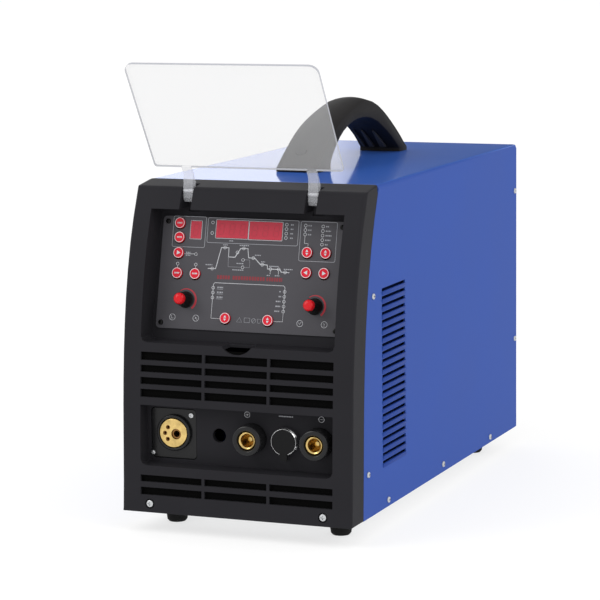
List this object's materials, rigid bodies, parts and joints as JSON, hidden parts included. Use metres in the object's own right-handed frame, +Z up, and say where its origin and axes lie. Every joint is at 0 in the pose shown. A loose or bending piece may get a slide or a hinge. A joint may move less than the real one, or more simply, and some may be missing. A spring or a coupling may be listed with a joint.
{
  "type": "tig welder",
  "caption": "Portable inverter welding machine: leaning moulded front with flip-up clear lid, knobs, keys and sockets, folded cover with carry handle, inner wire feeder and rear fan.",
  "frame": {"origin": "on the floor, under the centre of the bounding box", "axes": "+X to the right as seen from the front; +Y from the control front to the rear panel; +Z up"},
  "size_m": [0.243, 0.5736, 0.4647],
  "materials": {
    "moulding_black": "fine-grained moulded plastic",
    "cover_blue": "glossy blue powder coat",
    "panel_grey": "satin printed film",
    "lid_clear": "polished clear sheet",
    "handle_black": "fine-grained moulded plastic",
    "button_red": "satin",
    "display_red": "dark red filter window",
    "knob_black": "satin",
    "socket_black": "satin moulded plastic",
    "brass": "machined",
    "chrome": "plated",
    "rubber": "moulded rubber",
    "zinc_steel": "zinc-plated sheet",
    "board_green": "solder-masked board",
    "aluminium": "machined or extruded",
    "winding_copper": "copper-coated steel wire, wound",
    "core_grey": "lacquered",
    "spool_plastic": "moulded plastic"
  },
  "bodies": {
    "case": {"front_moulding": "moulding_black", "rear_panel": "moulding_black", "wrap_cover": "cover_blue", "base_pan": "zinc_steel", "partition_plate": "zinc_steel", "hinge_rod": "zinc_steel", "carry_handle": "handle_black", "control_plate": "panel_grey", "program_display": "display_red", "current_display": "display_red", "voltage_display": "display_red", "control_board": "board_green", "power_board": "board_green", "euro_plate": "socket_black", "euro_collar": "socket_black", "plus_socket_collar": "socket_black", "minus_socket_collar": "socket_black", "mains_gland": "socket_black", "switch_body": "socket_black", "fan_frame": "socket_black", "euro_body": "brass", "plus_socket_bush": "brass", "minus_socket_bush": "brass", "gas_inlet": "brass", "outlet_guide": "brass", "remote_shell": "chrome", "foot_front_left": "rubber", "foot_front_right": "rubber", "foot_rear_left": "rubber", "foot_rear_right": "rubber", "feed_motor": "core_grey", "transformer_core": "core_grey", "spool_spindle": "spool_plastic", "feeder_plate": "aluminium", "heatsink": "aluminium"},
    "lid": {"clear_lid": "lid_clear"},
    "left_knob": {"left_knob": "knob_black"},
    "right_knob": {"right_knob": "knob_black"},
    "remote_cap": {"remote_cap": "socket_black"},
    "wire_door": {"wire_door": "cover_blue"},
    "door_latch": {"door_latch": "socket_black"},
    "spool": {"wire_reel": "spool_plastic", "wire_coil": "winding_copper"},
    "drive_roll": {"drive_roll": "zinc_steel"},
    "pressure_arm": {"pressure_arm": "aluminium"},
    "pressure_roll": {"pressure_roll": "zinc_steel"},
    "tension_knob": {"tension_knob": "knob_black"},
    "fan_rotor": {"fan_rotor": "socket_black"},
    "switch_rocker": {"switch_rocker": "socket_black"},
    "load_button": {"load_button": "button_red"},
    "save_button": {"save_button": "button_red"},
    "wire_jog_button": {"wire_jog_button": "button_red"},
    "gas_test_button": {"gas_test_button": "button_red"},
    "trigger_mode_button": {"trigger_mode_button": "button_red"},
    "wire_size_button": {"wire_size_button": "button_red"},
    "wire_type_button": {"wire_type_button": "button_red"},
    "back_button": {"back_button": "button_red"},
    "next_button": {"next_button": "button_red"},
    "process_button": {"process_button": "button_red"},
    "cooling_button": {"cooling_button": "button_red"}
  },
  "joints": [
    {"name": "lid_hinge", "type": "hinge", "parent": "case", "child": "lid", "pos_m": [0, -0.21316, 0.3348], "axis": [1, 0, 0], "range_deg": [0, 134]},
    {"name": "left_knob_turn", "type": "hinge", "parent": "case", "child": "left_knob", "pos_m": [-0.067, -0.22296, 0.22784], "axis": [0, -0.974, 0.2267], "range_deg": [-150, 150]},
    {"name": "right_knob_turn", "type": "hinge", "parent": "case", "child": "right_knob", "pos_m": [0.0699, -0.2231, 0.22726], "axis": [0, -0.974, 0.2267], "range_deg": [-150, 150]},
    {"name": "load_press", "type": "slide", "parent": "case", "child": "load_button", "axis": [0, 0.974, -0.2267], "range_m": [0, 0.0008], "stiffness_N_per_m": 400, "springref_m": -0.0005},
    {"name": "save_press", "type": "slide", "parent": "case", "child": "save_button", "axis": [0, 0.974, -0.2267], "range_m": [0, 0.0008], "stiffness_N_per_m": 400, "springref_m": -0.0005},
    {"name": "wire_jog_press", "type": "slide", "parent": "case", "child": "wire_jog_button", "axis": [0, 0.974, -0.2267], "range_m": [0, 0.0008], "stiffness_N_per_m": 400, "springref_m": -0.0005},
    {"name": "gas_test_press", "type": "slide", "parent": "case", "child": "gas_test_button", "axis": [0, 0.974, -0.2267], "range_m": [0, 0.0008], "stiffness_N_per_m": 400, "springref_m": -0.0005},
    {"name": "trigger_mode_press", "type": "slide", "parent": "case", "child": "trigger_mode_button", "axis": [0, 0.974, -0.2267], "range_m": [0, 0.0008], "stiffness_N_per_m": 400, "springref_m": -0.0005},
    {"name": "wire_size_press", "type": "slide", "parent": "case", "child": "wire_size_button", "axis": [0, 0.974, -0.2267], "range_m": [0, 0.0008], "stiffness_N_per_m": 400, "springref_m": -0.0005},
    {"name": "wire_type_press", "type": "slide", "parent": "case", "child": "wire_type_button", "axis": [0, 0.974, -0.2267], "range_m": [0, 0.0008], "stiffness_N_per_m": 400, "springref_m": -0.0005},
    {"name": "back_press", "type": "slide", "parent": "case", "child": "back_button", "axis": [0, 0.974, -0.2267], "range_m": [0, 0.0008], "stiffness_N_per_m": 400, "springref_m": -0.0005},
    {"name": "next_press", "type": "slide", "parent": "case", "child": "next_button", "axis": [0, 0.974, -0.2267], "range_m": [0, 0.0008], "stiffness_N_per_m": 400, "springref_m": -0.0005},
    {"name": "process_press", "type": "slide", "parent": "case", "child": "process_button", "axis": [0, 0.974, -0.2267], "range_m": [0, 0.0008], "stiffness_N_per_m": 400, "springref_m": -0.0005},
    {"name": "cooling_press", "type": "slide", "parent": "case", "child": "cooling_button", "axis": [0, 0.974, -0.2267], "range_m": [0, 0.0008], "stiffness_N_per_m": 400, "springref_m": -0.0005},
    {"name": "remote_cap_hinge", "type": "hinge", "parent": "case", "child": "remote_cap", "pos_m": [0.0479, -0.25386, 0.0821], "axis": [1, 0, 0], "range_deg": [0, 100], "stiffness_Nm_per_rad": 0.004, "springref_deg": -28.65},
    {"name": "wire_door_hinge", "type": "hinge", "parent": "case", "child": "wire_door", "pos_m": [-0.1215, 0.23474, 0.175], "axis": [0, 0, -1], "range_deg": [0, 110]},
    {"name": "door_latch_turn", "type": "hinge", "parent": "wire_door", "child": "door_latch", "pos_m": [-0.1215, -0.14266, 0.19], "axis": [1, 0, 0], "range_deg": [0, 90]},
    {"name": "spool_spin", "type": "hinge", "parent": "case", "child": "spool", "pos_m": [-0.062, 0.12034, 0.15], "axis": [1, 0, 0], "continuous": true},
    {"name": "drive_roll_spin", "type": "hinge", "parent": "case", "child": "drive_roll", "pos_m": [-0.0723, -0.09466, 0.0831], "axis": [1, 0, 0], "continuous": true},
    {"name": "pressure_arm_lift", "type": "hinge", "parent": "case", "child": "pressure_arm", "pos_m": [-0.06, -0.05466, 0.1184], "axis": [-1, 0, 0], "range_deg": [0, 60]},
    {"name": "pressure_roll_spin", "type": "hinge", "parent": "pressure_arm", "child": "pressure_roll", "pos_m": [-0.0723, -0.09466, 0.1137], "axis": [1, 0, 0], "continuous": true},
    {"name": "tension_turn", "type": "hinge", "parent": "pressure_arm", "child": "tension_knob", "pos_m": [-0.061, -0.13066, 0.1284], "axis": [0, 0, 1], "range_deg": [-360, 360]},
    {"name": "fan_spin", "type": "hinge", "parent": "case", "child": "fan_rotor", "pos_m": [0.057, 0.25234, 0.215], "axis": [0, 1, 0], "continuous": true},
    {"name": "switch_rock", "type": "hinge", "parent": "case", "child": "switch_rocker", "pos_m": [-0.06, 0.26154, 0.285], "axis": [1, 0, 0], "range_deg": [-24, 0]}
  ],
  "couplings": [
    {"joint": "pressure_roll_spin", "follows": "drive_roll_spin", "ratio": -1}
  ]
}
